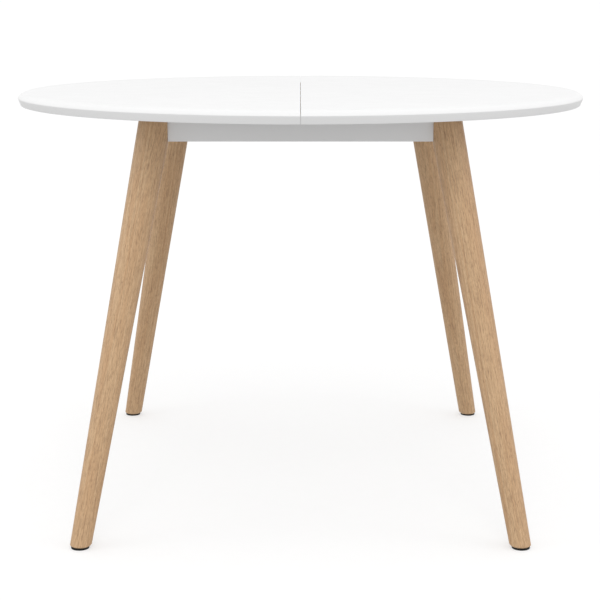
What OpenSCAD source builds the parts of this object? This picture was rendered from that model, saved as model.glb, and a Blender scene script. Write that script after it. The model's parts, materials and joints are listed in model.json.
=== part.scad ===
// Round extending table: two half tops slide apart on a pair of geared wooden slides.
// X runs left to right, Y front to back, Z up. The origin is on the floor, under the middle.

/* [Tabletop] */
// Diameter of the closed round top
top_d = 1050; // [870:10:1260]
// Thickness of the top
top_t = 22; // [18:1:30]
// Height of the top face above the floor
table_h = 750; // [600:5:900]
// Radius of the soft round-over along the upper edge
edge_r = 17; // [10:1:20]
// How far the round-over comes down from the top face
edge_drop = 9; // [4:0.5:9]
// How far the lower edge is cut back under the arris
bevel_in = 5; // [0:0.5:10]
// Gap between the two closed halves
seam_gap = 0.7; // [0.4:0.1:2]
// Chamfer along the upper edges of the seam
seam_chamfer = 0.6; // [0:0.1:1.5]

/* [Legs] */
// Radius of a leg at the floor
leg_r_low = 18; // [14:0.5:24]
// Radius of a leg under the top
leg_r_high = 28.4; // [24:0.1:35]
// Middle of a foot, left and right of the table's middle
foot_x = 376; // [330:1:460]
// Middle of a foot, in front of and behind the table's middle
foot_y = 427; // [360:1:520]
// Middle of a leg under the top, left and right of the table's middle
leg_top_x = 245; // [240:1:300]
// Middle of a leg under the top, in front of and behind the middle
leg_top_y = 288; // [250:1:345]
// Chamfer around a leg's lower end
leg_chamfer = 2; // [0.5:0.5:3]
// Radius of a foot pad
pad_r = 15.5; // [10:0.5:15.5]
// Thickness of a foot pad
pad_t = 4; // [3:0.5:8]
// Rounding around a foot pad's lower edge
pad_round = 1; // [0.5:0.5:1.5]
// Radius of a foot pad's stem
pad_stem_r = 3; // [2:0.5:4]
// Length of a foot pad's stem
pad_stem_l = 14; // [8:1:20]

/* [Apron] */
// Height of the apron boards
apron_h = 45; // [40:1:60]
// Thickness of the apron boards
apron_t = 20; // [16:1:26]
// Chamfer along the apron's lower edges
apron_chamfer = 1.2; // [0.5:0.1:2]
// Gap between the frame and the sliding top
slide_gap = 2; // [1:0.5:4]

/* [Slides] */
// How far each half top slides out
travel = 200; // [150:5:205]
// Middle of each slide, in front of and behind the table's middle
slide_y = 150; // [120:1:152]
// Width of the fixed centre runner
mid_w = 24; // [20:1:29]
// Width of a moving runner
runner_w = 18; // [16:1:22]
// Height of the runners
runner_h = 24; // [24:1:28]
// Length of a moving runner on its own half's side of the seam
runner_out = 245; // [230:1:260]
// Length of a moving runner beyond the pinion when it is fully out
runner_spare = 15; // [12:1:20]
// Gap between a moving runner and the centre runner
runner_play = 0.5; // [0.3:0.1:1]
// Height of the guiding tongue
tongue_h = 5; // [4:0.5:6]
// How far the tongue stands out
tongue_w = 5; // [4:0.5:6]
// Play of the tongue in its groove
tongue_play = 0.4; // [0.3:0.1:0.6]
// Height of the tongue above the centre runner's lower face
tongue_z = 15; // [14:0.5:16]
// Solid length that closes the groove and stops the slide
groove_stop = 10; // [6:1:12]
// Depth of the apron's notches for the slides
notch_d = 27; // [26:1:30]
// Room beside the slides in the notches
notch_side = 2; // [1:0.5:4]

/* [Gears] */
// Gap between the centre runner and the tips of a rack's teeth
rack_clear = 1.5; // [1:0.1:2]
// Number of teeth on a pinion
pinion_teeth = 20; // [18:2:24]
// Flank angle of the teeth
flank_a = 20; // [18:0.5:22]
// Thinning of each tooth flank, for backlash
backlash = 0.06; // [0.03:0.01:0.1]
// Height of a rack
rack_h = 8; // [6:0.5:9]
// Thickness of a rack behind its teeth
rack_back = 3.6; // [3:0.1:5]
// Length of a rack on its own half's side of the pinion
rack_out = 14; // [10:1:20]
// Gap between a rack's end and the runner's end
rack_end = 3; // [1:0.5:5]
// Thickness of a pinion
pinion_h = 7; // [5:0.5:7.5]
// Radius of a pinion's axle
axle_r = 3; // [2.5:0.5:4]
// Radius of the axle's flange
flange_r = 6; // [5:0.5:8]
// Thickness of the axle's flange
flange_t = 1.5; // [1:0.1:1.6]

/* [Leg brackets] */
// Thickness of the steel brackets
bracket_t = 2.5; // [2:0.5:3]
// Height of the brackets
bracket_h = 36; // [32:1:38]
// Length of a bracket's flanges
flange_l = 24; // [18:1:26]
// Distance from a leg's middle to its bracket
bracket_dist = 60; // [50:1:62]
// Distance between the two screws of a flange
flange_pitch = 20; // [16:1:22]
// Radius of a leg's hanger bolt
bolt_r = 4; // [3:0.5:5]
// Depth of the hanger bolt in the leg, past the leg's surface
bolt_in = 18; // [12:1:20]
// Length of the hanger bolt past its bracket
bolt_out = 14; // [12:1:20]
// Width of the nut across its flats
nut_af = 13; // [10:0.5:17]
// Height of the nut
nut_h = 6.5; // [5:0.5:8]
// Radius of the washer
washer_r = 9; // [8:0.5:12]
// Thickness of the washer
washer_t = 1.6; // [1:0.1:2]

/* [Screws and pins] */
// Radius of the wood screws' shanks
screw_r = 2; // [1.5:0.1:2.5]
// Radius of the wood screws' heads
head_r = 4; // [3:0.1:4.5]
// Height of the wood screws' heads
head_h = 2.6; // [2:0.1:3]
// Places of the runner screws, from the seam
runner_screw_x = [70, 148, 229]; // [40:1:235]
// Depth of a runner screw in the top
screw_in_top = 14; // [8:1:16]
// Depth of the counterbore for a runner screw
counterbore = 8; // [4:1:10]
// Depth of a bracket screw in the apron
screw_in_apron = 13; // [8:1:15]
// Depth of an apron screw in the centre runner
mid_screw_in = 11; // [8:1:16]
// Radius of the alignment pins
pin_r = 4; // [3:0.5:5]
// How far the alignment pins stand out of the right half
pin_out = 14; // [8:1:16]
// Depth of the alignment pins in the right half
pin_in = 20; // [15:1:25]
// Outer radius of the alignment pins' bushes
bush_r = 6; // [6:0.5:7.5]
// Length of the bushes
bush_l = 16; // [16:1:20]
// Places of the alignment pins, in front of and behind the middle
pin_y = [90, 230, 370]; // [10:1:440]
// Clearance of turning and sliding fits
fit_play = 0.08; // [0.05:0.01:0.1]

/* [Glides] */
// Radius of the nylon glides on the apron
glide_r = 8; // [6:0.5:9]
// Radius of a glide's stem
glide_stem_r = 2.5; // [2:0.5:3]
// Length of a glide's stem
glide_stem_l = 8; // [6:1:10]
// Gap between the glides and the top
glide_play = 0.2; // [0.1:0.1:0.4]
// Place of the glides on the front and back aprons
glide_x = 150; // [60:1:190]
// Place of the glides on the side aprons
glide_y = 226; // [205:1:240]

/* [Catches] */
// Place of each catch, in front of and behind the middle
catch_y = 60; // [45:1:64]
// Distance from the seam to a catch's pivot
catch_x = 20; // [16:1:22]
// Distance from the seam to a keeper's stud
keeper_x = 14; // [12:1:18]
// Length of a catch plate or keeper plate along the seam
plate_l = 36; // [32:1:40]
// Width of a catch plate or keeper plate
plate_w = 30; // [28:1:32]
// Distance from the seam to the plates
plate_in = 4; // [2:1:5]
// Thickness of the plates
plate_t = 2; // [1.5:0.1:3]
// Thickness of a catch lever
lever_t = 4; // [3:0.5:5]
// Width of a catch lever
lever_w = 18; // [16:1:20]
// Wall of the lever's hook outside its slot
hook_wall = 5; // [4:0.5:6]
// Radius of pivots and studs
stud_r = 3; // [2.5:0.5:3.5]
// Radius of the heads on pivots and studs
stud_head_r = 5; // [4:0.5:6]
// Thickness of the heads on pivots and studs
stud_head_t = 1.4; // [1:0.1:2]
// Gap above and below a lever
lever_gap = 0.4; // [0.3:0.1:0.6]
// Radius of a lever's finger knob
knob_r = 5; // [4:0.5:6]
// Height of a lever's finger knob
knob_h = 9; // [6:1:12]
// Distance from the pivot to the knob's middle
knob_x = 21; // [19:1:22]
// Distance from a plate's corner to its screw
plate_screw = 5; // [5:0.5:6]
// Radius of a plate screw's head
plate_head_r = 3.2; // [2.5:0.1:3.5]
// Height of a plate screw's head, sunk in the plate
plate_head_h = 1.2; // [1:0.1:1.4]
// Radius of a plate screw's shank
plate_screw_r = 1.6; // [1.2:0.1:2]
// Depth of a plate screw in the top
plate_screw_l = 12; // [8:1:14]

/* [Hidden] */

round_fn = 96;      // facets of the larger round shapes where they are drawn as meshes
small_fn = 32;      // facets of screws, pins and studs
hex_sides = 6;
cut = 1;            // how far a cutting solid stands past what it cuts
hole_play = 0.1;    // room around screws, stems and dowels in their holes
big = 4000;         // larger than the table
front = -1;
back = 1;
left = -1;
right = 1;

// Colours
lacquer = "#f3f2f0";
oak = "#c9a273";
beech = "#d9b384";
steel = "#b9bcbf";
dark_steel = "#5b5f63";
nylon = "#e9e7df";
black = "#1d1d1f";

// Heights
under_z = table_h - top_t;
frame_top = under_z - slide_gap;
apron_z = frame_top - apron_h;
apron_mid_z = apron_z + apron_h / 2;
notch_z = frame_top - notch_d;
mid_z = notch_z;
runner_z = frame_top - runner_h;
tongue_low = mid_z + tongue_z;
pinion_z = runner_z + (rack_h - pinion_h) / 2;
pocket_top = runner_z + rack_h + cut;
mid_top = mid_z + runner_h;
mid_screw_l = notch_z + mid_screw_in - apron_z - head_h;

// Edge of the top
top_r = top_d / 2;
edge_w = sqrt(edge_r * edge_r - (edge_r - edge_drop) * (edge_r - edge_drop));
edge_sweep = asin(edge_w / edge_r);
edge_steps = 10;

// A leg's middle and radius at a height
function leg_x(z) = foot_x + (leg_top_x - foot_x) * z / under_z;
function leg_y(z) = foot_y + (leg_top_y - foot_y) * z / under_z;
function leg_r(z) = leg_r_low + (leg_r_high - leg_r_low) * z / under_z;
leg_run = [leg_top_x - foot_x, leg_top_y - foot_y, under_z];
leg_len = norm(leg_run);
leg_tilt = acos(under_z / leg_len);
leg_turn = atan2(leg_run.y, leg_run.x);
leg_spare = 30;     // length of the cone past each cut end

// Apron boards butt against flats on the legs
apron_x_mid = leg_x(apron_mid_z);
apron_y_mid = leg_y(apron_mid_z);
flat_x = leg_x(apron_z) - leg_r(apron_z);
flat_y = leg_y(apron_z) - leg_r(apron_z);
inner_x = apron_x_mid - apron_t / 2;
inner_y = apron_y_mid - apron_t / 2;
mid_len = 2 * (apron_x_mid + apron_t / 2);

// Slides
runner_face = mid_w / 2 + runner_play;
runner_in = travel + runner_spare;
screw_row = runner_face + runner_w - head_r - 2;
notch_w = 2 * (runner_face + runner_w + notch_side);
tongue_out = inner_x - 4;
tongue_in = runner_spare - groove_stop - 0.5;
runner_pad_in = 20;     // the pad that carries the top ends this far from the seam

// Gears: the tooth size lets the racks clear the centre runner
gear_m = (mid_w / 2 + rack_clear) / (pinion_teeth / 2 - 1);
pitch_r = gear_m * pinion_teeth / 2;
tip_r = pitch_r + gear_m;
root_r = pitch_r - 1.25 * gear_m;
base_r = pitch_r * cos(flank_a);
tooth_pitch = PI * gear_m;
rack_tip = pitch_r - gear_m;
rack_root = pitch_r + 1.25 * gear_m;
rack_rear = rack_root + rack_back;
rack_long = runner_in - rack_end;
flank_steps = 4;

// Brackets
bracket_z = apron_mid_z - bracket_h / 2;
diag_sum = apron_x_mid + apron_y_mid - sqrt(2) * bracket_dist;
bend = bracket_t * (sqrt(2) - 1);
bolt_start = leg_r(apron_mid_z) - bolt_in;
bolt_end = bracket_dist + bracket_t + bolt_out;

// Catches
lever_z = under_z - plate_t - lever_gap - lever_t;
stud_head_z = lever_z - lever_gap - stud_head_t;
hook_r = catch_x + keeper_x;
lever_rest = 90;    // turn of a lever from hooked to its rest place beside the seam
knob_blend = 1;
pin_z = under_z + top_t / 2;

// ---- Shared shapes ----

// Places its children in one quarter of the table: side left or right, end front or back
module quarter(side, end) {
  mirror([side < 0 ? 1 : 0, 0, 0])
    mirror([0, end < 0 ? 1 : 0, 0])
      children();
}

module all_quarters() {
  for (side = [left, right], end = [front, back])
    quarter(side, end) children();
}

// A box from its lowest to its highest corner
module block(low, high) {
  translate(low)
    cube([high.x - low.x, high.y - low.y, high.z - low.z]);
}

// Round bar from z = low to z = high at a place in plan
module post(place, r, low, high) {
  translate([place.x, place.y, low])
    cylinder(h = high - low, r = r, $fn = small_fn);
}

// A pan-head screw: the head's seat is at z = 0, the shank runs up, the head hangs below
module screw(shank_r, shank_l, cap_r, cap_h) {
  cylinder(h = shank_l, r = shank_r, $fn = small_fn);
  translate([0, 0, -cap_h])
    cylinder(h = cap_h, r = cap_r, $fn = small_fn);
}

// ---- Tabletop ----

function edge_point(i) =
  let (a = edge_sweep * i / edge_steps)
  [top_r - edge_w + edge_r * sin(a), table_h - edge_r + edge_r * cos(a)];

module top_disc() {
  rotate_extrude($fn = round_fn)
    polygon(concat(
      [[0, under_z], [top_r - bevel_in, under_z]],
      [for (i = [edge_steps : -1 : 0]) edge_point(i)],
      [[0, table_h]]
    ));
}

// Half top on one side of the seam, before its holes
module half_disc(side) {
  intersection() {
    top_disc();
    translate([side > 0 ? seam_gap / 2 : -big - seam_gap / 2, -big / 2, 0])
      cube([big, big, big]);
  }
}

module seam_bevel(side) {
  size = seam_chamfer * sqrt(2);
  translate([side * seam_gap / 2, 0, table_h])
    rotate([0, 45, 0])
      cube([size, big, size], center = true);
}

// Holes for the runner screws in the half top
module runner_screw_holes(side) {
  for (place = runner_screw_places(side))
    post(place, screw_r + hole_play, under_z - cut, under_z + screw_in_top + hole_play);
}

function plate_screw_places(side, end) = [
  for (ix = [-1, 1], iy = [-1, 1])
    [side * (plate_in + plate_w / 2) + ix * (plate_w / 2 - plate_screw),
     end * catch_y + iy * (plate_l / 2 - plate_screw)]
];

module plate_screw_holes(side) {
  for (end = [front, back])
    for (place = plate_screw_places(side, end))
      post(place, plate_screw_r + hole_play, under_z - cut, under_z + plate_screw_l + hole_play);
}

// Bores along X at the alignment pins, from low to high
module pin_bores(r, low, high) {
  for (y = pin_y, end = [front, back])
    translate([low, end * y, pin_z])
      rotate([0, 90, 0])
        cylinder(h = high - low, r = r, $fn = small_fn);
}

module top_half(side) {
  difference() {
    half_disc(side);
    seam_bevel(side);
    runner_screw_holes(side);
    plate_screw_holes(side);
    if (side > 0) pin_bores(pin_r + hole_play, 0, pin_in + hole_play);
    if (side < 0) pin_bores(bush_r + hole_play, -seam_gap / 2 - bush_l - hole_play, 0);
  }
}

module top_half_left() { color(lacquer) top_half(left); }
module top_half_right() { color(lacquer) top_half(right); }

// ---- Alignment pins and their bushes ----

module alignment_pins() {
  tip = 1.5;
  color(beech)
    for (y = pin_y, end = [front, back])
      translate([0, end * y, pin_z])
        rotate([0, 90, 0])
          rotate_extrude($fn = small_fn)
            polygon([[0, -pin_out], [pin_r - tip, -pin_out], [pin_r, -pin_out + tip],
                     [pin_r, pin_in], [0, pin_in]]);
}

module pin_bushes() {
  start = -seam_gap / 2 - bush_l;
  color(nylon)
    difference() {
      pin_bores(bush_r, start, -seam_gap / 2);
      pin_bores(pin_r + fit_play, start - cut, cut);
    }
}

// ---- Legs and feet ----

module leg_cone() {
  slope = (leg_r_high - leg_r_low) / leg_len;
  translate([foot_x, foot_y, 0])
    rotate([0, leg_tilt, leg_turn])
      translate([0, 0, -leg_spare])
        cylinder(h = leg_len + 2 * leg_spare, r1 = leg_r_low - slope * leg_spare,
                 r2 = leg_r_high + slope * leg_spare, $fn = round_fn);
}

// Ring cut that chamfers the leg's lower end
module leg_end_cut() {
  reach = leg_r_low + 3 * leg_chamfer;
  keep = leg_r_low - leg_chamfer;
  translate([leg_x(pad_t), leg_y(pad_t), pad_t])
    rotate_extrude($fn = round_fn)
      polygon([[keep, 0], [keep, -cut], [reach + cut, -cut],
               [reach + cut, reach - keep], [reach, reach - keep]]);
}

// Bolt along the line from the leg to its bracket, from one distance to another
module bolt_line(r, low, high) {
  translate([apron_x_mid, apron_y_mid, apron_mid_z])
    rotate([0, 90, -135])
      translate([0, 0, low])
        cylinder(h = high - low, r = r, $fn = small_fn);
}

module leg() {
  color(oak)
    difference() {
      intersection() {
        leg_cone();
        block([0, 0, pad_t], [big, big, frame_top]);
      }
      block([0, 0, apron_z], [flat_x, big, big]);
      block([0, 0, apron_z], [big, flat_y, big]);
      leg_end_cut();
      post([foot_x, foot_y], pad_stem_r + hole_play, 0, pad_t + pad_stem_l + hole_play);
      bolt_line(bolt_r + hole_play, bolt_start - hole_play, bracket_dist);
    }
}

module foot_pad() {
  color(black)
    translate([foot_x, foot_y, 0])
      rotate_extrude($fn = round_fn)
        polygon([[0, 0], [pad_r - pad_round, 0], [pad_r, pad_round], [pad_r, pad_t],
                 [pad_stem_r, pad_t], [pad_stem_r, pad_t + pad_stem_l], [0, pad_t + pad_stem_l]]);
}

module leg_front_left() { quarter(left, front) leg(); }
module leg_front_right() { quarter(right, front) leg(); }
module leg_back_left() { quarter(left, back) leg(); }
module leg_back_right() { quarter(right, back) leg(); }
module foot_pad_front_left() { quarter(left, front) foot_pad(); }
module foot_pad_front_right() { quarter(right, front) foot_pad(); }
module foot_pad_back_left() { quarter(left, back) foot_pad(); }
module foot_pad_back_right() { quarter(right, back) foot_pad(); }

// ---- Apron ----

// Section of an apron board, across X and up Y, chamfered along its lower edges
module apron_section() {
  half = apron_t / 2;
  polygon([[-half + apron_chamfer, 0], [half - apron_chamfer, 0], [half, apron_chamfer],
           [half, apron_h], [-half, apron_h], [-half, apron_chamfer]]);
}

module glide_holes() {
  for (place = glide_places())
    post(place, glide_stem_r + hole_play, frame_top - glide_stem_l - hole_play, frame_top + cut);
}

function glide_places() = concat(
  [for (sx = [-1, 1], sy = [-1, 1]) [sx * glide_x, sy * apron_y_mid]],
  [for (sx = [-1, 1], sy = [-1, 1]) [sx * apron_x_mid, sy * glide_y]]
);

// Front or back board, along X
module long_apron(end) {
  color(lacquer)
    difference() {
      translate([-flat_x, end * apron_y_mid, apron_z])
        rotate([90, 0, 90])
          linear_extrude(height = 2 * flat_x) apron_section();
      glide_holes();
      bracket_screw_shapes(screw_r + hole_play, screw_in_apron + hole_play, 0, 0);
    }
}

// Left or right board, along Y, notched for the slides
module side_apron(side) {
  color(lacquer)
    difference() {
      translate([side * apron_x_mid, flat_y, apron_z])
        rotate([90, 0, 0])
          linear_extrude(height = 2 * flat_y) apron_section();
      for (end = [front, back])
        translate([side * apron_x_mid, end * slide_y, notch_z + big / 2])
          cube([2 * apron_t, notch_w, big], center = true);
      glide_holes();
      bracket_screw_shapes(screw_r + hole_play, screw_in_apron + hole_play, 0, 0);
      for (end = [front, back]) {
        post([side * apron_x_mid, end * slide_y], screw_r + hole_play, apron_z - cut, notch_z + cut);
        post([side * apron_x_mid, end * slide_y], head_r + hole_play, apron_z - cut,
             apron_z + head_h + hole_play);
      }
    }
}

module apron_front() { long_apron(front); }
module apron_back() { long_apron(back); }
module apron_left() { side_apron(left); }
module apron_right() { side_apron(right); }

module top_glides() {
  color(nylon)
    for (place = glide_places()) {
      post(place, glide_r, frame_top, under_z - glide_play);
      post(place, glide_stem_r, frame_top - glide_stem_l, frame_top);
    }
}

// ---- Leg brackets, hanger bolts and screws ----

// Plan of a bracket in the right back quarter: flange, diagonal web, flange
module bracket_plan() {
  ax = diag_sum - inner_y;
  by = diag_sum - inner_x;
  polygon([
    [ax - flange_l, inner_y], [ax, inner_y], [inner_x, by], [inner_x, by - flange_l],
    [inner_x - bracket_t, by - flange_l], [inner_x - bracket_t, by - bend],
    [ax - bend, inner_y - bracket_t], [ax - flange_l, inner_y - bracket_t]
  ]);
}

// Screw shapes of the brackets in all quarters: shanks into the aprons, heads inside
module bracket_screw_shapes(r, depth, cap_r, cap_h) {
  ax = diag_sum - inner_y - flange_l / 2;
  by = diag_sum - inner_x - flange_l / 2;
  all_quarters()
    for (dz = [-1, 1] * flange_pitch / 2) {
      translate([ax, inner_y - bracket_t, apron_mid_z + dz])
        rotate([-90, 0, 0])
          screw(r, bracket_t + depth, cap_r, cap_h);
      translate([inner_x - bracket_t, by, apron_mid_z + dz])
        rotate([0, 90, 0])
          screw(r, bracket_t + depth, cap_r, cap_h);
    }
}

module corner_bracket() {
  color(dark_steel)
    difference() {
      translate([0, 0, bracket_z])
        linear_extrude(height = bracket_h) bracket_plan();
      bolt_line(bolt_r + 0.4, bracket_dist - cut, bracket_dist + bracket_t + cut);
      bracket_screw_shapes(screw_r + hole_play, screw_in_apron, 0, 0);
    }
}

module corner_bracket_front_left() { quarter(left, front) corner_bracket(); }
module corner_bracket_front_right() { quarter(right, front) corner_bracket(); }
module corner_bracket_back_left() { quarter(left, back) corner_bracket(); }
module corner_bracket_back_right() { quarter(right, back) corner_bracket(); }

module bracket_screws() {
  color(steel) bracket_screw_shapes(screw_r, screw_in_apron, head_r, head_h);
}

module hanger_bolts() {
  color(steel) all_quarters() bolt_line(bolt_r, bolt_start, bolt_end);
}

module hanger_washers() {
  face = bracket_dist + bracket_t;
  color(steel)
    all_quarters()
      difference() {
        bolt_line(washer_r, face, face + washer_t);
        bolt_line(bolt_r + 0.3, face - cut, face + washer_t + cut);
      }
}

module hanger_nuts() {
  face = bracket_dist + bracket_t + washer_t;
  color(steel)
    all_quarters()
      difference() {
        translate([apron_x_mid, apron_y_mid, apron_mid_z])
          rotate([0, 90, -135])
            translate([0, 0, face])
              cylinder(h = nut_h, d = nut_af / cos(180 / hex_sides), $fn = hex_sides);
        bolt_line(bolt_r + fit_play, face - cut, face + nut_h + cut);
      }
}

// ---- Slides ----

// Tongue on one side of the centre runner: the left half's on the front face, the right half's behind
module tongue(side) {
  rotate([0, 0, side < 0 ? 0 : 180])
    block([-tongue_out, -mid_w / 2 - tongue_w, tongue_low],
          [tongue_in, 0, tongue_low + tongue_h]);
}

module centre_runner(end) {
  color(beech)
    translate([0, end * slide_y, 0])
      difference() {
        union() {
          block([-mid_len / 2, -mid_w / 2, mid_z], [mid_len / 2, mid_w / 2, mid_top]);
          tongue(left);
          tongue(right);
        }
        post([0, 0], tip_r + 1, mid_z - cut, pocket_top);
        post([0, 0], axle_r + fit_play, mid_z, mid_top + cut);
        for (side = [left, right])
          post([side * apron_x_mid, 0], screw_r + hole_play, mid_z - cut,
               apron_z + head_h + mid_screw_l + hole_play);
      }
}

module centre_runner_front() { centre_runner(front); }
module centre_runner_back() { centre_runner(back); }

module centre_runner_screws() {
  color(steel)
    for (side = [left, right], end = [front, back])
      translate([side * apron_x_mid, end * slide_y, apron_z + head_h])
        screw(screw_r, mid_screw_l, head_r, head_h);
}

// Screw places of one half's two runners, in plan
function runner_screw_places(side) = [
  for (end = [front, back], x = runner_screw_x)
    [side * x, end * slide_y + side * screw_row]
];

// A moving runner as the left half's front one: rest place, slide's middle at Y = 0
module runner_shape() {
  low_y = -runner_face - runner_w;
  difference() {
    union() {
      block([-runner_out, low_y, runner_z], [runner_in, -runner_face, frame_top]);
      block([-runner_out, low_y, frame_top - cut], [-runner_pad_in, -runner_face, under_z]);
    }
    block([-runner_out - cut, -mid_w / 2 - tongue_w - tongue_play, tongue_low - tongue_play],
          [runner_in - groove_stop, 0, tongue_low + tongue_h + tongue_play]);
    block([-rack_out, -rack_rear, runner_z - cut], [runner_in + cut, 0, runner_z + rack_h]);
  }
}

// Screws or their holes for one half's runners
module runner_screw_shapes(side, r, length, cap_r, cap_h) {
  for (place = runner_screw_places(side))
    translate([place.x, place.y, runner_z + counterbore])
      screw(r, length, cap_r, cap_h);
}

module runner(side, end) {
  color(beech)
    difference() {
      translate([0, end * slide_y, 0])
        rotate([0, 0, side < 0 ? 0 : 180])
          runner_shape();
      runner_screw_shapes(side, screw_r + hole_play, runner_h + cut, head_r + hole_play, counterbore + cut);
    }
}

module runner_screws(side) {
  shank = under_z + screw_in_top - runner_z - counterbore;
  color(steel) runner_screw_shapes(side, screw_r, shank, head_r, head_h);
}

module runner_left_front() { runner(left, front); }
module runner_left_back() { runner(left, back); }
module runner_right_front() { runner(right, front); }
module runner_right_back() { runner(right, back); }
module runner_screws_left() { runner_screws(left); }
module runner_screws_right() { runner_screws(right); }

// ---- Racks and pinions ----

// Half width of a rack tooth at a distance from the pinion's middle
function rack_half(y) = tooth_pitch / 4 - backlash + (y - pitch_r) * tan(flank_a);

// Rack teeth between -rack_out and rack_long, with a gap in line with the pinion's middle
function rack_teeth() = [
  for (k = [ceil(-rack_out / tooth_pitch) : floor(rack_long / tooth_pitch) - 1])
    for (corner = [[-1, rack_root], [-1, rack_tip], [1, rack_tip], [1, rack_root]])
      [(k + 0.5) * tooth_pitch + corner[0] * rack_half(corner[1]), -corner[1]]
];

module rack(side, end) {
  color(dark_steel)
    translate([0, end * slide_y, runner_z])
      rotate([0, 0, side < 0 ? 0 : 180])
        linear_extrude(height = rack_h)
          polygon(concat(
            [[-rack_out, -rack_root]], rack_teeth(),
            [[rack_long, -rack_root], [rack_long, -rack_rear], [-rack_out, -rack_rear]]
          ));
}

module rack_left_front() { rack(left, front); }
module rack_left_back() { rack(left, back); }
module rack_right_front() { rack(right, front); }
module rack_right_back() { rack(right, back); }

// Involute of an angle, in degrees
function involute(a) = tan(a) * 180 / PI - a;

// Half of a pinion tooth's angle at radius r
function tooth_half(r) =
  90 / pinion_teeth - backlash / pitch_r * 180 / PI
  + involute(flank_a) - involute(acos(min(1, base_r / r)));

function polar(r, a) = [r * cos(a), r * sin(a)];

function tooth_points(a) =
  let (radii = [for (i = [0 : flank_steps]) base_r + (tip_r - base_r) * i / flank_steps])
  concat(
    [polar(root_r, a - tooth_half(base_r))],
    [for (i = [0 : flank_steps]) polar(radii[i], a - tooth_half(radii[i]))],
    [for (i = [flank_steps : -1 : 0]) polar(radii[i], a + tooth_half(radii[i]))],
    [polar(root_r, a + tooth_half(base_r))]
  );

module pinion(end) {
  color(nylon)
    translate([0, end * slide_y, pinion_z])
      difference() {
        linear_extrude(height = pinion_h)
          polygon([for (k = [0 : pinion_teeth - 1]) each tooth_points(k * 360 / pinion_teeth)]);
        translate([0, 0, -cut])
          cylinder(h = pinion_h + 2 * cut, r = axle_r + fit_play, $fn = small_fn);
      }
}

module pinion_axle(end) {
  flange_top = pinion_z - 0.3;
  color(steel)
    translate([0, end * slide_y, 0]) {
      post([0, 0], axle_r, flange_top, mid_top);
      post([0, 0], flange_r, flange_top - flange_t, flange_top);
    }
}

module pinion_front() { pinion(front); }
module pinion_back() { pinion(back); }
module pinion_axle_front() { pinion_axle(front); }
module pinion_axle_back() { pinion_axle(back); }

// ---- Catches ----

// A plate under the top with a headed stud at a distance from the seam
module stud_plate(side, end, stud_x) {
  low_x = side > 0 ? plate_in : -plate_in - plate_w;
  color(steel)
    difference() {
      union() {
        block([low_x, end * catch_y - plate_l / 2, under_z - plate_t],
              [low_x + plate_w, end * catch_y + plate_l / 2, under_z]);
        post([side * stud_x, end * catch_y], stud_r, stud_head_z, under_z - plate_t);
        post([side * stud_x, end * catch_y], stud_head_r, stud_head_z, stud_head_z + stud_head_t);
      }
      for (place = plate_screw_places(side, end)) {
        post(place, plate_screw_r + hole_play, under_z - plate_t - cut, under_z + cut);
        post(place, plate_head_r + hole_play, under_z - plate_t - cut,
             under_z - plate_t + plate_head_h);
      }
    }
}

module plate_screws(side) {
  color(steel)
    for (end = [front, back])
      for (place = plate_screw_places(side, end)) {
        post(place, plate_head_r, under_z - plate_t, under_z - plate_t + plate_head_h);
        post(place, plate_screw_r, under_z - plate_t + plate_head_h, under_z + plate_screw_l);
      }
}

module keeper_front() { stud_plate(left, front, keeper_x); }
module keeper_back() { stud_plate(left, back, keeper_x); }
module keeper_screws() { plate_screws(left); }
module catch_plate_front() { stud_plate(right, front, catch_x); }
module catch_plate_back() { stud_plate(right, back, catch_x); }
module catch_screws() { plate_screws(right); }

// Plan of a lever that is hooked on its keeper: pivot at the origin, stud at -X, slot open to -Y
module lever_plan() {
  slot = stud_r + 0.25;
  difference() {
    union() {
      circle(r = lever_w / 2, $fn = round_fn);
      translate([-hook_r, -lever_w / 2]) square([hook_r, lever_w]);
      intersection() {
        circle(r = hook_r + slot + hook_wall, $fn = round_fn);
        translate([-2 * hook_r, -lever_w / 2]) square([2 * hook_r, lever_w]);
      }
    }
    circle(r = stud_r + fit_play, $fn = small_fn);
    intersection() {
      difference() {
        circle(r = hook_r + slot, $fn = round_fn);
        circle(r = hook_r - slot, $fn = round_fn);
      }
      translate([-2 * hook_r, -lever_w]) square([2 * hook_r, lever_w]);
    }
    translate([-hook_r, 0]) circle(r = slot, $fn = small_fn);
  }
}

module catch_lever() {
  color(dark_steel)
    translate([catch_x, catch_y, 0])
      rotate([0, 0, -lever_rest]) {
        translate([0, 0, lever_z])
          linear_extrude(height = lever_t) lever_plan();
        translate([-knob_x, 0, lever_z - knob_h])
          cylinder(h = knob_h + knob_blend, r = knob_r, $fn = small_fn);
      }
}

module catch_lever_front() { quarter(right, front) catch_lever(); }
module catch_lever_back() { quarter(right, back) catch_lever(); }

apron_front();
apron_back();
apron_left();
apron_right();
leg_front_left();
leg_front_right();
leg_back_left();
leg_back_right();
foot_pad_front_left();
foot_pad_front_right();
foot_pad_back_left();
foot_pad_back_right();
corner_bracket_front_left();
corner_bracket_front_right();
corner_bracket_back_left();
corner_bracket_back_right();
bracket_screws();
hanger_bolts();
hanger_washers();
hanger_nuts();
top_glides();
centre_runner_front();
centre_runner_back();
centre_runner_screws();
pinion_axle_front();
pinion_axle_back();
top_half_left();
runner_left_front();
runner_left_back();
rack_left_front();
rack_left_back();
runner_screws_left();
pin_bushes();
keeper_front();
keeper_back();
keeper_screws();
top_half_right();
runner_right_front();
runner_right_back();
rack_right_front();
rack_right_back();
runner_screws_right();
alignment_pins();
catch_plate_front();
catch_plate_back();
catch_screws();
pinion_front();
pinion_back();
catch_lever_front();
catch_lever_back();
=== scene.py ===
# Round extending dining table: two white lacquered half tops that slide apart on geared beech runners,
# a white apron and four splayed oak legs. Everything is in metres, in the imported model's frame.
import json
import math

import bmesh
import bpy
import numpy as np
from mathutils import Matrix, Vector


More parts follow.
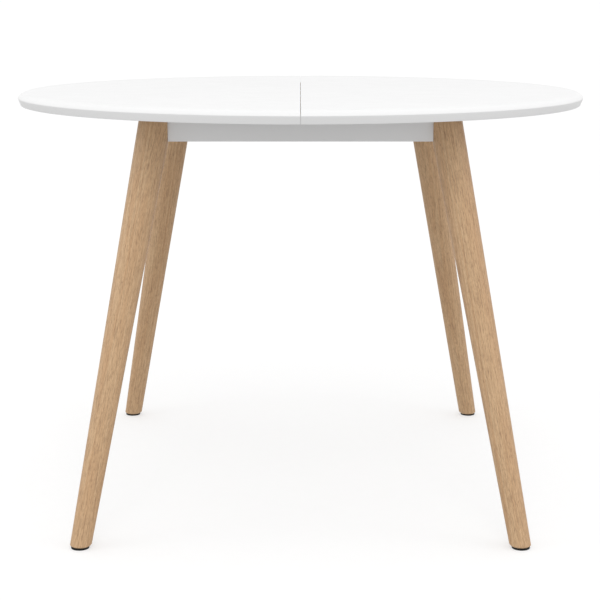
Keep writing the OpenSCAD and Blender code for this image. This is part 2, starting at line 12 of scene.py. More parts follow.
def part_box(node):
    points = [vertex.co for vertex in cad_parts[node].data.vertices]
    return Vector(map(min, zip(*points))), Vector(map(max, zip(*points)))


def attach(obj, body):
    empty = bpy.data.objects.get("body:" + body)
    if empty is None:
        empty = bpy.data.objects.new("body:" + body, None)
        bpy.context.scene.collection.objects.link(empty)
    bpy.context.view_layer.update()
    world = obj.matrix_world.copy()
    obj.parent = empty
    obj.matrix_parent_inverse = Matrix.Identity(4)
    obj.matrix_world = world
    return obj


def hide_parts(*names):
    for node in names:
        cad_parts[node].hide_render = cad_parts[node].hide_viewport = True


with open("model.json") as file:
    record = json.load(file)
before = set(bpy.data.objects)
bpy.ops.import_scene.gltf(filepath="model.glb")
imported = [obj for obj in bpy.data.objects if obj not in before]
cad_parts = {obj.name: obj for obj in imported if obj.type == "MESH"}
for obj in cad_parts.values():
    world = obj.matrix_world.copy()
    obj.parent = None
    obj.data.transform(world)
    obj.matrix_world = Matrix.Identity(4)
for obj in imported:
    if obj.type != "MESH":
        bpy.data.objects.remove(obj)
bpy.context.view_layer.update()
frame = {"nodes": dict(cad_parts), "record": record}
nodes = frame["nodes"]
record = frame["record"]
bodyOf = {node: body for body, group in record["behaviour"]["bodies"].items() for node in group}
slotOf = {part["node"]: part["material_slot"] for part in record["subparts"]}
mm = 0.001
print("frame loaded,", len(nodes), "nodes")


# Finishes. Every pattern is placed by the object's own coordinates or by its grain.
noiseRange = (0.3, 0.7)  # a noise seldom leaves this range
bandRange = (0.35, 0.65)  # the same for the one-dimensional noise of the year rings


def hexColour(code):
    # sRGB hex to the linear values that the sockets take
    levels = [int(code[i : i + 2], 16) / 255 for i in (1, 3, 5)]
    return tuple(v / 12.92 if v <= 0.04045 else ((v + 0.055) / 1.055) ** 2.4 for v in levels) + (1.0,)


def addNode(tree, kind, inputs=(), **settings):
    # inputs: values, sockets or nodes, by name or in order; a node stands for its first output
    node = tree.nodes.new(kind)
    for name, value in settings.items():
        setattr(node, name, value)
    named = inputs if isinstance(inputs, dict) else dict(enumerate(inputs))
    for name, value in named.items():
        if isinstance(value, bpy.types.Node):
            value = value.outputs[0]
        if isinstance(value, bpy.types.NodeSocket):
            tree.links.new(value, node.inputs[name])
        else:
            node.inputs[name].default_value = value
    return node


def newMaterial(name):
    material = bpy.data.materials.new(name)
    material.use_nodes = True
    material.node_tree.nodes.clear()
    return material, material.node_tree


# Each pattern of a plain finish is its width, its detail and its harshness.

# Two-pack polyurethane sprayed on board and left satin: an even white without grain, a broad soft
# shine, and the slight unevenness of a sprayed film where light grazes it.
lacquerFacts = {
    "name": "polyurethaneLacquer",
    "uniform": {"IOR": 1.5},
    "tones": ("#e9e9e9", "#e6e6e6"),
    "roughness": (0.30, 0.38),
    "tone": (220 * mm, 2.0, 0.5),
    "gloss": (40 * mm, 2.0, 0.5),
    "relief": (4 * mm, 1.0, 0.4),  # orange peel is 1 to 3 mm wide, drawn at 4 so that it shows
    "depth": 0.012 * mm,
}

# Bright zinc on pressed and turned steel: a grey mirror dulled by fine crystals, a little bluish.
zincFacts = {
    "name": "zincPlatedSteel",
    "uniform": {"Metallic": 1.0},
    "tones": ("#c3c7cb", "#aeb3b8"),
    "roughness": (0.28, 0.42),
    "tone": (1.5 * mm, 2.0, 0.5),  # plated crystals are far finer, drawn at 1.5 so that they show
    "gloss": (1.5 * mm, 2.0, 0.5),
    "relief": (1.5 * mm, 2.0, 0.5),
    "depth": 0.01 * mm,
}

# Black polyester powder baked on steel: deep grey black with a fine grainy skin.
powderFacts = {
    "name": "powderCoat",
    "uniform": {"IOR": 1.5},
    "tones": ("#232426", "#2d2e31"),
    "roughness": (0.42, 0.55),
    "tone": (0.8 * mm, 2.0, 0.5),
    "gloss": (0.8 * mm, 2.0, 0.5),
    "relief": (0.8 * mm, 2.0, 0.5),
    "depth": 0.03 * mm,
}

# Natural nylon, injection moulded: milky off-white that light enters a little, with a soft shine.
nylonFacts = {
    "name": "mouldedNylon",
    "uniform": {"IOR": 1.53, "Subsurface Weight": 0.15, "Subsurface Scale": 2 * mm},
    "tones": ("#ece8db", "#e0dccd"),
    "roughness": (0.34, 0.44),
    "tone": (6 * mm, 2.0, 0.5),
    "gloss": (6 * mm, 2.0, 0.5),
    "relief": (1 * mm, 2.0, 0.5),
    "depth": 0.01 * mm,
}

# Polyethylene, moulded: black, waxy and dull, with the fine scuffs of a glide.
polyethyleneFacts = {
    "name": "blackPolyethylene",
    "uniform": {"IOR": 1.51, "Specular IOR Level": 0.3},
    "tones": ("#0c0c0c", "#171717"),
    "roughness": (0.45, 0.65),
    "tone": (2 * mm, 4.0, 0.5),
    "gloss": (2 * mm, 4.0, 0.5),
    "relief": (2 * mm, 4.0, 0.5),
    "depth": 0.03 * mm,
}


def plainFinish(facts):
    # a coat, plating or plastic whose tone, gloss and relief wander a little over the surface
    material, tree = newMaterial(facts["name"])
    place = addNode(tree, "ShaderNodeTexCoord").outputs["Object"]
    noise = {}
    for layer in ("tone", "gloss", "relief"):
        width, detail, harshness = facts[layer]
        pattern = {"Vector": place, "Scale": 1 / width, "Detail": detail, "Roughness": harshness}
        noise[layer] = addNode(tree, "ShaderNodeTexNoise", pattern)
    light, dark = [hexColour(code) for code in facts["tones"]]
    # numbers 6 and 7 are the colour inputs of the Mix node, output 2 its colour
    colour = addNode(tree, "ShaderNodeMix", {0: noise["tone"], 6: light, 7: dark}, data_type="RGBA")
    rough = addNode(tree, "ShaderNodeMapRange", (noise["gloss"], *noiseRange, *facts["roughness"]))
    bump = addNode(tree, "ShaderNodeBump", {"Height": noise["relief"], "Distance": facts["depth"]})
    sockets = {"Base Color": colour.outputs[2], "Roughness": rough, "Normal": bump}
    shader = addNode(tree, "ShaderNodeBsdfPrincipled", {**facts["uniform"], **sockets})
    addNode(tree, "ShaderNodeOutputMaterial", {"Surface": shader})
    return material


# Sizes of a wood's patterns are across, across and along the grain.
oakFacts = {
    "name": "oiledOak",
    "early": "#d3b28b",
    "late": "#bd9269",
    "pore": "#85654a",
    "ringWidth": 2.2 * mm,
    "ringShare": 0.40,
    "sway": 1.8,  # how far the rings wander, in rings
    "swaySize": (20 * mm, 20 * mm, 300 * mm),
    "poreSize": (1.2 * mm, 1.2 * mm, 26 * mm),  # pores are 0.3 mm wide, drawn wider so that they show
    "poreRange": (0.47, 0.72),
    "poreShare": 0.48,
    "fineSize": (0.35 * mm, 0.35 * mm, 7 * mm),  # the pores at their real size, for a close look
    "fineRange": (0.58, 0.66),
    "fineShare": 0.5,
    "toneSize": (18 * mm, 18 * mm, 200 * mm),
    "toneShare": 0.34,
    "roughness": (0.48, 0.66),
    "poreDepth": 0.05 * mm,
}
beechFacts = {
    "name": "planedBeech",
    "early": "#d9b995",
    "late": "#c9a57f",
    "pore": "#a3774f",
    "ringWidth": 4.5 * mm,
    "ringShare": 0.35,
    "sway": 1.2,
    "swaySize": (18 * mm, 18 * mm, 300 * mm),
    "poreSize": (0.7 * mm, 0.7 * mm, 3 * mm),  # the short brown flecks of beech
    "poreRange": (0.60, 0.70),
    "poreShare": 0.45,
    "fineSize": (0.25 * mm, 0.25 * mm, 2 * mm),
    "fineRange": (0.60, 0.68),
    "fineShare": 0.3,
    "toneSize": (12 * mm, 12 * mm, 160 * mm),
    "toneShare": 0.4,
    "roughness": (0.50, 0.62),
    "poreDepth": 0.02 * mm,
}
timberIor = 1.45
layerDetail = {"sway": 2.0, "tone": 2.0, "pore": 1.5, "fine": 0.0}


def timber(facts):
    # Solid wood cut along the grain: year rings run as long bands, darker pores as fine broken streaks,
    # and the tone drifts along the piece. The grain attribute holds each point across and along the wood.
    material, tree = newMaterial(facts["name"])
    place = addNode(tree, "ShaderNodeAttribute", attribute_name="grain").outputs["Vector"]
    noise = {}
    for layer, detail in layerDetail.items():
        scale = [1 / size for size in facts[layer + "Size"]]
        stretched = addNode(tree, "ShaderNodeVectorMath", (place, scale), operation="MULTIPLY")
        pattern = {"Vector": stretched, "Scale": 1.0, "Detail": detail}
        noise[layer] = addNode(tree, "ShaderNodeTexNoise", pattern)

    across = addNode(tree, "ShaderNodeVectorMath", (place, (1, 1, 0)), operation="MULTIPLY")
    fromPith = addNode(tree, "ShaderNodeVectorMath", (across,), operation="LENGTH").outputs["Value"]
    ringAt = addNode(tree, "ShaderNodeMath", (fromPith, 1 / facts["ringWidth"]), operation="MULTIPLY")
    swayed = addNode(tree, "ShaderNodeMath", (noise["sway"], facts["sway"], ringAt), operation="MULTIPLY_ADD")
    bands = {"W": swayed.outputs[0], "Scale": 1.0, "Detail": 1.0}
    rings = addNode(tree, "ShaderNodeTexNoise", bands, noise_dimensions="1D")
    ringShare = addNode(tree, "ShaderNodeMapRange", (rings, *bandRange, 0, facts["ringShare"]))
    toneShare = addNode(tree, "ShaderNodeMapRange", (noise["tone"], *noiseRange, 0, facts["toneShare"]))
    late = addNode(tree, "ShaderNodeMath", (ringShare, toneShare), operation="ADD", use_clamp=True)
    tones = {0: late, 6: hexColour(facts["early"]), 7: hexColour(facts["late"])}
    wood = addNode(tree, "ShaderNodeMix", tones, data_type="RGBA").outputs[2]

    coarse = addNode(tree, "ShaderNodeMapRange", (noise["pore"], *facts["poreRange"], 0, facts["poreShare"]))
    fine = addNode(tree, "ShaderNodeMapRange", (noise["fine"], *facts["fineRange"], 0, facts["fineShare"]))
    pores = addNode(tree, "ShaderNodeMath", (coarse, fine), operation="ADD", use_clamp=True)
    tones = {0: pores, 6: wood, 7: hexColour(facts["pore"])}
    colour = addNode(tree, "ShaderNodeMix", tones, data_type="RGBA").outputs[2]
    rough = addNode(tree, "ShaderNodeMapRange", (pores, 0, 1, *facts["roughness"]))
    height = addNode(tree, "ShaderNodeMapRange", (pores, 0, 1, 1, 0))
    bump = addNode(tree, "ShaderNodeBump", {"Height": height, "Distance": facts["poreDepth"]})
    sockets = {"IOR": timberIor, "Base Color": colour, "Roughness": rough, "Normal": bump}
    shader = addNode(tree, "ShaderNodeBsdfPrincipled", sockets)
    addNode(tree, "ShaderNodeOutputMaterial", {"Surface": shader})
    return material


finish = {
    "white_lacquer": plainFinish(lacquerFacts),
    "oak": timber(oakFacts),
    "beech": timber(beechFacts),
    "zinc_steel": plainFinish(zincFacts),
    "black_steel": plainFinish(powderFacts),
    "nylon": plainFinish(nylonFacts),
    "black_plastic": plainFinish(polyethyleneFacts),
}
print("finishes made")


# Shared ways of making a piece and putting it in the place of its node.
hardAngle = math.radians(35)
flatAngle = math.radians(0.4)
weldGap = 0.001 * mm
easeSteps = 2


def meshObject(name, shape):
    # an object from a bmesh, smooth except at its hard edges
    mesh = bpy.data.meshes.new(name)
    shape.to_mesh(mesh)
    shape.free()
    mesh.shade_smooth()
    mesh.set_sharp_from_angle(angle=hardAngle)
    piece = bpy.data.objects.new(name, mesh)
    bpy.context.scene.collection.objects.link(piece)
    return piece


def carve(piece, cutter, operation):
    # cuts the piece by another object, keeps the result as its mesh and throws the cutter away
    boolean = piece.modifiers.new("carve", "BOOLEAN")
    boolean.operation, boolean.object, boolean.solver = operation, cutter, "EXACT"
    graph = bpy.context.evaluated_depsgraph_get()
    made = bpy.data.meshes.new_from_object(piece.evaluated_get(graph))
    old = piece.data
    piece.modifiers.clear()
    piece.data = made
    bpy.data.meshes.remove(old)
    bpy.data.objects.remove(cutter)


def standsFor(piece, node):
    # the piece takes the node's place, body and finish
    piece.data.materials.append(finish[slotOf[node]])
    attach(piece, bodyOf[node])
    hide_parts(node)


def flatShading(piece):
    # flat faces stay flat beside their eased edges
    piece.modifiers.new("flatFaces", "WEIGHTED_NORMAL").keep_sharp = True


def easeEdges(shape, edges, ease, steps):
    bmesh.ops.bevel(
        shape, geom=edges, offset=ease, segments=steps, profile=0.5, affect="EDGES", clamp_overlap=True
    )


def easedCopy(node, ease, name=None):
    # the node's own shape with its hard edges broken, as sanding, moulding or plating leaves them
    shape = bmesh.new()
    shape.from_mesh(nodes[node].data)
    bmesh.ops.remove_doubles(shape, verts=shape.verts, dist=weldGap)
    bmesh.ops.dissolve_limit(shape, angle_limit=flatAngle, verts=shape.verts, edges=shape.edges)
    hard = [e for e in shape.edges if len(e.link_faces) == 2 and e.calc_face_angle() > hardAngle]
    easeEdges(shape, hard, ease, easeSteps)
    piece = meshObject(name or node + "_eased", shape)
    flatShading(piece)
    return piece


def setGrain(piece, origin, along, pith):
    # each point's place in the plank it was cut from: x and y across from the pith, z along
    along = Vector(along).normalized()
    side = along.orthogonal().normalized()
    turn = Matrix((side, along.cross(side), along))
    grain = piece.data.attributes.new("grain", "FLOAT_VECTOR", "POINT")
    for vertex, value in zip(piece.data.vertices, grain.data):
        value.vector = turn @ (vertex.co - Vector(origin)) + Vector(pith)


def loosePoints(node):
    # the points of each separate solid in a node
    shape = bmesh.new()
    shape.from_mesh(nodes[node].data)
    bmesh.ops.remove_doubles(shape, verts=shape.verts, dist=weldGap)
    seen, groups = set(), []
    for start in shape.verts:
        if start in seen:
            continue
        seen.add(start)
        waiting, group = [start], []
        while waiting:
            vertex = waiting.pop()
            group.append(vertex.co.copy())
            for edge in vertex.link_edges:
                other = edge.other_vert(vertex)
                if other not in seen:
                    seen.add(other)
                    waiting.append(other)
        groups.append(group)
    shape.free()
    return groups


def lathe(profile, turns):
    # a closed solid of revolution about Z from (radius, height) points, running from the axis to the axis
    shape = bmesh.new()
    spokes = [2 * math.pi * i / turns for i in range(turns)]
    rings = []
    for radius, height in profile:
        if radius == 0:
            rings.append([shape.verts.new((0, 0, height))])
        else:
            corners = [(radius * math.cos(a), radius * math.sin(a), height) for a in spokes]
            rings.append([shape.verts.new(corner) for corner in corners])
    for low, high in zip(rings, rings[1:]):
        for i in range(turns):
            j = (i + 1) % turns
            corners = [low[i % len(low)], low[j % len(low)], high[j % len(high)], high[i % len(high)]]
            shape.faces.new(list(dict.fromkeys(corners)))
    bmesh.ops.recalc_face_normals(shape, faces=shape.faces)
    return shape


def arcPoints(centre, radius, start, end, steps):
    # points on an arc, angles in degrees
    angles = [math.radians(start + (end - start) * i / steps) for i in range(steps + 1)]
    return [(centre[0] + radius * math.cos(a), centre[1] + radius * math.sin(a)) for a in angles]


# Tabletop: both halves are cut from one turned shape, with a soft upper edge and an undercut lower one.
topFacts = {
    "roundOver": 17 * mm,  # radius of the soft upper edge
    "drop": 9 * mm,  # how far it comes down to the arris
    "bevelIn": 5 * mm,  # undercut of the lower edge
    "arrisEase": 0.4 * mm,
    "arrisTurn": 2.5,  # degrees of the round-over that the eased arris takes
    "arcSteps": 14,
    "seamEase": 0.6 * mm,
    "seamSteps": 3,
    "rimRing": 0.995,  # share of the upper flat's radius at which it has a ring
    "middleRing": 0.5,  # the same for both flats
    "turns": 288,
    "boreTurns": 48,
    "borePlay": 0.1 * mm,
}


def topProfile(low, high):
    # half section of the whole top, from the axis under it round the rim to the axis on top
    facts = topFacts
    rim = high.x
    bulge, ease = facts["roundOver"], facts["arrisEase"]
    run = math.sqrt(bulge**2 - (bulge - facts["drop"]) ** 2)
    sweep = math.degrees(math.asin(run / bulge))
    under = rim - facts["bevelIn"]
    arris = high.z - facts["drop"]
    slope = Vector((facts["bevelIn"], arris - low.z)).normalized() * ease
    points = [(0, low.z), (under * facts["middleRing"], low.z)]
    points += [(under - 2 * ease, low.z), (under - ease, low.z)]
    points += [(under + slope.x, low.z + slope.y), (rim - slope.x, arris - slope.y)]
    start = 90 - sweep + facts["arrisTurn"]
    points += arcPoints((rim - run, high.z - bulge), bulge, start, 90, facts["arcSteps"])
    flat = rim - run
    points += [(flat * facts["rimRing"], high.z), (flat * facts["middleRing"], high.z), (0, high.z)]
    return points


def cutBores(piece, sign):
    # round sockets in the seam face, sized from the dowels on the right and from their bushes on the left
    play = topFacts["borePlay"]
    cutter = bmesh.new()
    for points in loosePoints("alignment_pins" if sign > 0 else "pin_bushes"):
        middle = sum(points, Vector()) / len(points)
        radius = max(p.y for p in points) - middle.y + play
        depth = max(p.x * sign for p in points) + play
        turn = Matrix.Translation((0, middle.y, middle.z)) @ Matrix.Rotation(math.pi / 2, 4, "Y")
        bmesh.ops.create_cone(
            cutter, cap_ends=True, segments=topFacts["boreTurns"], radius1=radius, radius2=radius,
            depth=2 * depth, matrix=turn,
        )
    carve(piece, meshObject("boreCutter", cutter), "DIFFERENCE")


def halfTop(side, sign):
    node = "top_half_" + side
    low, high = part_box("top_half_right")
    seamX = sign * low.x
    shape = lathe(topProfile(low, high), topFacts["turns"])
    every = shape.verts[:] + shape.edges[:] + shape.faces[:]
    bmesh.ops.bisect_plane(
        shape, geom=every, plane_co=(seamX, 0, 0), plane_no=(-sign, 0, 0), clear_outer=True
    )
    bmesh.ops.contextual_create(shape, geom=[e for e in shape.edges if e.is_boundary])
    onSeam = [e for e in shape.edges if all(abs(v.co.x - seamX) < weldGap for v in e.verts)]
    floorLevel = low.z + topFacts["arrisEase"]  # the seam face's lower edge stays sharp
    seam = [e for e in onSeam if any(v.co.z > floorLevel for v in e.verts)]
    easeEdges(shape, seam, topFacts["seamEase"], topFacts["seamSteps"])
    piece = meshObject(node + "_lacquered", shape)
    cutBores(piece, sign)
    piece.data.shade_smooth()
    piece.data.set_sharp_from_angle(angle=hardAngle)
    flatShading(piece)
    standsFor(piece, node)


halfTop("left", -1)
halfTop("right", 1)
print("tabletop made")


# Apron: four lacquered boards.
apronEase = 0.7 * mm
for side in ("front", "back", "left", "right"):
    node = "apron_" + side
    standsFor(easedCopy(node, apronEase), node)
print("apron made")


# Legs and the glides under them.
legFacts = {
    "ease": 0.6 * mm,
    "top": (245 * mm, 288 * mm, 728 * mm),  # where a leg's axis ends, right and back of the middle
    # where each leg's axis lies from the pith of its tree, and how far up the trunk, so no two match
    "pith": {
        "front_left": (0.052, 0.016, 0.0),
        "front_right": (-0.047, 0.031, 1.3),
        "back_left": (0.038, -0.044, 2.9),
        "back_right": (-0.058, -0.020, 4.1),
    },
}
padFacts = {
    "rounding": 0.8 * mm,
    "roundSteps": 6,
    "grooves": 2,
    "grooveDeep": 0.35 * mm,
    "shoulderEase": 0.2 * mm,
    "stem": 3 * mm,
    "stemEase": 0.5 * mm,
    "flatRing": 0.7,  # share of the radius at which the underside has a ring
    "turns": 72,
}


def leg(corner):
    end, side = corner.split("_")
    low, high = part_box("foot_pad_" + corner)
    foot = Vector(((low.x + high.x) / 2, (low.y + high.y) / 2, 0))
    topX, topY, topZ = legFacts["top"]
    top = Vector((topX if side == "right" else -topX, topY if end == "back" else -topY, topZ))
    piece = easedCopy("leg_" + corner, legFacts["ease"], "leg_" + corner + "_oak")
    setGrain(piece, foot, top - foot, legFacts["pith"][corner])
    standsFor(piece, "leg_" + corner)


def footPad(corner):
    # a moulded glide: rounded lower edge, fine grooves round its side, stem up into the leg
    facts = padFacts
    node = "foot_pad_" + corner
    low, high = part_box(node)
    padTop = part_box("leg_" + corner)[0].z
    radius = (high.x - low.x) / 2
    stem, curve = facts["stem"], facts["rounding"]
    points = [(0, 0), (radius * facts["flatRing"], 0)]
    points += arcPoints((radius - curve, curve), curve, -90, 0, facts["roundSteps"])
    step = (padTop - curve) / (2 * facts["grooves"] + 1)
    for i in range(facts["grooves"]):
        height = curve + step * (2 * i + 1)
        groove = (radius - facts["grooveDeep"], height + step / 2)
        points += [(radius, height), groove, (radius, height + step)]
    points += [(radius, padTop - facts["shoulderEase"]), (radius - facts["shoulderEase"], padTop)]
    points += [(stem, padTop), (stem, high.z - facts["stemEase"]), (stem - facts["stemEase"], high.z)]
    points += [(0, high.z)]
    piece = meshObject(node + "_moulded", lathe(points, facts["turns"]))
    piece.location = ((low.x + high.x) / 2, (low.y + high.y) / 2, 0)
    bpy.context.view_layer.update()
    standsFor(piece, node)


for corner in legFacts["pith"]:
    leg(corner)
    footPad(corner)
print("legs and feet made")


# Runners: planed beech, each cut from its own stretch of plank.
runnerFacts = {"ease": 0.8 * mm, "pithX": 0.04, "pithY": 0.03, "pithDrift": 0.1, "plankShift": 5}


def runner(node):
    facts = runnerFacts
    piece = easedCopy(node, facts["ease"])
    low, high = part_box(node)
    middle = (low + high) / 2
    pithY = facts["pithY"] + middle.y * facts["pithDrift"]
    setGrain(piece, middle, (1, 0, 0), (facts["pithX"], pithY, middle.x + facts["plankShift"] * middle.y))
    standsFor(piece, node)


for node in nodes:
    if "runner" in node and "screws" not in node:
        runner(node)
print("runners made")


# Fastenings: screws, and the bolts and nuts that hold the legs.
screwFacts = {
    "spin": 47,  # degrees from one screw to the next
    "turns": 40,
    "domeSteps": 8,
    "domePower": 2 / 3,  # under 1, which makes the pan head squarer than a ball
    "recess": 0.56,  # reach of the cross over the head's radius
    "arm": 0.13,  # half width of an arm over the head's radius
    "clear": 0.3,  # how far the cutter stands proud, over the head's height
    "deep": 0.62,  # depth of the cross over the head's height
    "straight": 0.4,  # share of that depth before it tapers
    "taper": 0.5,
    "tipLength": 2,  # over the shank's radius, as is the next
    "tipRadius": 0.2,
}
boltFacts = {
    "pitch": 1.25 * mm,
    "threadDeep": 0.6 * mm,
    "turns": 28,
    "perTurn": 8,
    "threaded": 26 * mm,  # length of the machine thread, which shows beside the nut
    "endCone": 0.3,  # over the rod's radius
}
nutFacts = {
    "ease": 0.15 * mm,
    "acrossFlats": 13 * mm,
    "bevel": 30,  # degrees
    "face": 0.97,  # end face over half the width across flats
    "reach": 1.25,  # the same for the widest turned part, which clears the corners
    "turns": 64,
}


def turnedSolid(points):
    # middle and direction of a turned solid that is longer than wide, its points' heights and radii
    place = sum(points, Vector()) / len(points)
    spread = np.array([p - place for p in points])
    axis = Vector(np.linalg.eigh(spread.T @ spread)[1][:, -1])
    heights = [(p - place).dot(axis) for p in points]
    radii = [((p - place) - axis * h).length for p, h in zip(points, heights)]
    widest = max(radii)
    headSide = sum(h for h, r in zip(heights, radii) if r > widest - weldGap)
    if headSide > 0:  # the direction runs from the head to the tip
        axis, heights = -axis, [-h for h in heights]
    return place, axis, heights, radii


def placed(template, place, axis, spin, target):
    # adds a copy of the template, its z along the axis, to the target shape
    turn = axis.to_track_quat("Z", "Y").to_matrix().to_4x4() @ Matrix.Rotation(spin, 4, "Z")
    move = Matrix.Translation(place) @ turn
    template.transform(move)
    target.from_mesh(template)
    template.transform(move.inverted())


def crossCutter(headR, headH):
    facts = screwFacts
    reach, arm = facts["recess"] * headR, facts["arm"] * headR
    corners = [(reach, arm), (arm, arm), (arm, reach)]
    for quarter in range(3):
        corners += [(-y, x) for x, y in corners[-3:]]
    deep = facts["deep"] * headH
    levels = ((-facts["clear"] * headH, 1.0), (deep * facts["straight"], 1.0), (deep, facts["taper"]))
    cross = bmesh.new()
    rings = [[cross.verts.new((x * scale, y * scale, z)) for x, y in corners] for z, scale in levels]
    cross.faces.new(rings[0])
    cross.faces.new(rings[-1])
    for low, high in zip(rings, rings[1:]):
        for i in range(len(low)):
            j = (i + 1) % len(low)
            cross.faces.new((low[i], low[j], high[j], high[i]))
    bmesh.ops.recalc_face_normals(cross, faces=cross.faces)
    return meshObject("recessCutter", cross)


def screwTemplate(headR, headH, shankR, length):
    # pan head with a cross recess and a plain shank with a blunt tip, head at the origin and tip along z
    facts = screwFacts
    power = facts["domePower"]
    bends = [math.pi / 2 * i / facts["domeSteps"] for i in range(1, facts["domeSteps"] + 1)]
    points = [(0, 0)] + [(headR * math.sin(a) ** power, headH * (1 - math.cos(a) ** power)) for a in bends]
    points += [(shankR, headH), (shankR, length - facts["tipLength"] * shankR)]
    points += [(facts["tipRadius"] * shankR, length), (0, length)]
    piece = meshObject("screwTemplate", lathe(points, facts["turns"]))
    carve(piece, crossCutter(headR, headH), "DIFFERENCE")
    mesh = piece.data
    bpy.data.objects.remove(piece)
    return mesh


def screws(node):
    # every screw of a node, each turned a little differently, as a hand leaves them
    whole = bmesh.new()
    template = None
    for i, points in enumerate(loosePoints(node)):
        place, axis, heights, radii = turnedSolid(points)
        start, end = min(heights), max(heights)
        if template is None:
            headR, shankR = max(radii), min(radii)
            seat = max(h for h, r in zip(heights, radii) if r > headR - weldGap)
            template = screwTemplate(headR, seat - start, shankR, end - start)
        placed(template, place + axis * start, axis, math.radians(screwFacts["spin"] * i), whole)
    standsFor(meshObject(node + "_cross_head", whole), node)


def threadedRod(radius, length):
    # a rod along z with a screw thread on its last part and a short cone at each end
    facts = boltFacts
    shape = bmesh.new()
    step = facts["pitch"] / facts["perTurn"]
    plain = length - facts["threaded"]
    cone = radius * facts["endCone"]
    heights = [0, cone, plain]
    heights += [plain + step * i for i in range(1, int(facts["threaded"] / step))] + [length]
    rings = []
    for height in heights:
        ring = []
        for i in range(facts["turns"]):
            share = i / facts["turns"]
            wave = abs(((height - plain) / facts["pitch"] - share) % 1 * 2 - 1)
            depth = facts["threadDeep"] * wave if height > plain else 0
            endCut = max(0, cone - min(height, length - height))
            reach = min(radius - depth, radius - endCut)
            angle = 2 * math.pi * share
            ring.append(shape.verts.new((reach * math.cos(angle), reach * math.sin(angle), height)))
        rings.append(ring)
    for low, high in zip(rings, rings[1:]):
        for i in range(facts["turns"]):
            j = (i + 1) % facts["turns"]
            shape.faces.new((low[i], low[j], high[j], high[i]))
    shape.faces.new(rings[0])
    shape.faces.new(rings[-1])
    bmesh.ops.recalc_face_normals(shape, faces=shape.faces)
    return shape


def addShape(shape, place, axis, target):
    # the same as placed, for a shape that is used once
    mesh = bpy.data.meshes.new("once")
    shape.to_mesh(mesh)
    shape.free()
    placed(mesh, place, axis, 0, target)


def hangerBolts():
    node = "hanger_bolts"
    whole = bmesh.new()
    axes = []
    for points in loosePoints(node):
        place, axis, heights, radii = turnedSolid(points)
        if axis.dot(place.xy.to_3d()) > 0:  # the threaded end points to the middle of the table
            axis = -axis
        length = max(heights) - min(heights)
        addShape(threadedRod(max(radii), length), place - axis * length / 2, axis, whole)
        axes.append((place, axis))
    standsFor(meshObject(node + "_threaded", whole), node)
    return axes


def hangerNuts(axes):
    # hexagon nuts with the corners turned off at both ends
    node = "hanger_nuts"
    facts = nutFacts
    piece = easedCopy(node, facts["ease"], node + "_chamfered")
    flat = facts["acrossFlats"] / 2
    face, wide = flat * facts["face"], flat * facts["reach"]
    drop = (wide - flat) * math.tan(math.radians(facts["bevel"]))
    envelope = bmesh.new()
    for points in loosePoints(node):
        place, axis = min(axes, key=lambda pair: (pair[0] - points[0]).length)
        heights = [(p - place).dot(axis) for p in points]
        low, high = min(heights), max(heights)
        rise = high - low
        outline = [(0, 0), (face, 0), (wide, drop), (wide, rise - drop), (face, rise), (0, rise)]
        addShape(lathe(outline, facts["turns"]), place + axis * low, axis, envelope)
    carve(piece, meshObject("nutEnvelope", envelope), "INTERSECT")
    standsFor(piece, node)


for node in nodes:
    if "screws" in node:
        screws(node)
hangerNuts(hangerBolts())
print("fastenings made")


# Fittings: how far the edges of each kind are broken, by the first name that a node starts with.
fittingEase = {
    "corner_bracket": 0.5 * mm,
    "hanger_washers": 0.25 * mm,
    "top_glides": 0.6 * mm,
    "pinion_axle": 0.4 * mm,
    "pinion": 0.12 * mm,
    "rack": 0.12 * mm,
    "pin_bushes": 0.3 * mm,
    "alignment_pins": 0.9 * mm,
    "keeper": 0.4 * mm,
    "catch": 0.4 * mm,
}
dowelPith = (0.05, 0.02, 0.0)
for node in [n for n in nodes if not nodes[n].hide_render]:
    ease = next(size for start, size in fittingEase.items() if node.startswith(start))
    piece = easedCopy(node, ease)
    if slotOf[node] == "beech":
        setGrain(piece, (0, 0, 0), (1, 0, 0), dowelPith)
    standsFor(piece, node)
print("fittings made")


# Studio: a white floor, three soft boxes, a pale sky and the camera.
floorFacts = {
    "radius": 300.0,
    "sides": 64,
    "tones": ("#b8b8b8", "#b6b6b6"),
    "cloud": (30 * mm, 4.0),  # width and detail
    "roughness": 0.9,
    "glowColour": "#ffffff",
    "glow": 0.50,
}


def opalAcrylic():
    # Light table of milky acrylic lit from underneath: white, even and matt, so that shadows stay faint.
    # From below it is clear, so that the underside can be looked at.
    facts = floorFacts
    material, tree = newMaterial("opalAcrylic")
    place = addNode(tree, "ShaderNodeTexCoord").outputs["Object"]
    width, detail = facts["cloud"]
    cloud = addNode(tree, "ShaderNodeTexNoise", {"Vector": place, "Scale": 1 / width, "Detail": detail})
    light, dark = [hexColour(code) for code in facts["tones"]]
    colour = addNode(tree, "ShaderNodeMix", {0: cloud, 6: light, 7: dark}, data_type="RGBA")
    sockets = {
        "Base Color": colour.outputs[2],
        "Roughness": facts["roughness"],
        "Emission Color": hexColour(facts["glowColour"]),
        "Emission Strength": facts["glow"],
    }
    shader = addNode(tree, "ShaderNodeBsdfPrincipled", sockets)
    below = addNode(tree, "ShaderNodeNewGeometry").outputs["Backfacing"]
    clear = addNode(tree, "ShaderNodeBsdfTransparent")
    sheet = addNode(tree, "ShaderNodeMixShader", (below, shader, clear))
    addNode(tree, "ShaderNodeOutputMaterial", {"Surface": sheet})
    return material


def studioFloor():
    # lights nothing itself: the sky below the horizon stands in for the light that it sends up
    shape = bmesh.new()
    bmesh.ops.create_circle(
        shape, cap_ends=True, segments=floorFacts["sides"], radius=floorFacts["radius"]
    )
    floor = meshObject("studioFloor", shape)
    floor.data.materials.append(opalAcrylic())
    floor.visible_diffuse = floor.visible_glossy = floor.visible_shadow = False


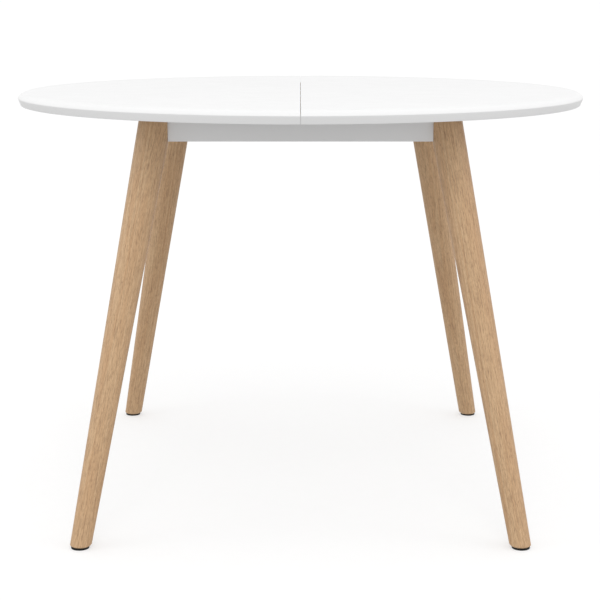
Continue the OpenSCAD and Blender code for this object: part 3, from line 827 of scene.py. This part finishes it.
lightAim = Vector((0, 0, 0.4))
lightFacts = {
    # place, size, watts
    "frontBox": ((0.0, -3.4, 3.4), 2.0, 28.0),
    "leftBox": ((-3.4, -1.2, 1.6), 1.6, 12.0),
    "rightBox": ((3.4, -1.2, 1.6), 1.6, 12.0),
}


def softBox(name, place, size, power):
    data = bpy.data.lights.new(name, "AREA")
    data.shape, data.size, data.energy = "SQUARE", size, power
    lamp = bpy.data.objects.new(name, data)
    lamp.location = place
    lamp.rotation_euler = (lightAim - Vector(place)).to_track_quat("-Z", "Y").to_euler()
    lamp.visible_camera = False
    bpy.context.scene.collection.objects.link(lamp)


skyFacts = {-1.0: 0.60, -0.35: 0.48, 0.0: 1.0, 0.45: 1.01, 1.0: 1.04}  # brightness by sine of elevation


def sky():
    # white all round, a little brighter overhead and dimmer below
    world = bpy.data.worlds.new("studioWhite")
    world.use_nodes = True
    tree = world.node_tree
    tree.nodes.clear()
    toward = addNode(tree, "ShaderNodeTexCoord").outputs["Generated"]
    height = addNode(tree, "ShaderNodeSeparateXYZ", (toward,)).outputs["Z"]
    share = addNode(tree, "ShaderNodeMapRange", (height, -1, 1, 0, 1))
    ramp = addNode(tree, "ShaderNodeValToRGB", {"Fac": share})
    stops = ramp.color_ramp.elements
    ends = {0.0: 0, 1.0: -1}  # a new ramp has a stop at each end
    for sine, bright in skyFacts.items():
        position = (sine + 1) / 2
        stop = stops[ends[position]] if position in ends else stops.new(position)
        stop.color = (bright, bright, bright, 1)
    background = addNode(tree, "ShaderNodeBackground", {"Color": ramp})
    addNode(tree, "ShaderNodeOutputWorld", {"Surface": background})
    bpy.context.scene.world = world


cameraFacts = {
    "place": (-0.0009, -2.932, 0.929),
    "tilt": 11.241,  # degrees down from level
    "lens": 92.70,  # millimetres, as is the sensor
    "sensor": 36,
    "clip": (0.05, 1000),
}


def camera():
    data = bpy.data.cameras.new("camera")
    data.sensor_width = cameraFacts["sensor"]
    data.lens = cameraFacts["lens"]
    data.clip_start, data.clip_end = cameraFacts["clip"]
    view = bpy.data.objects.new("camera", data)
    view.location = cameraFacts["place"]
    view.rotation_euler = (math.radians(90 - cameraFacts["tilt"]), 0, 0)
    bpy.context.scene.collection.objects.link(view)
    bpy.context.scene.camera = view


studioFloor()
for name, facts in lightFacts.items():
    softBox(name, *facts)
sky()
camera()
bpy.context.scene.view_settings.view_transform = "Standard"
print("studio made")
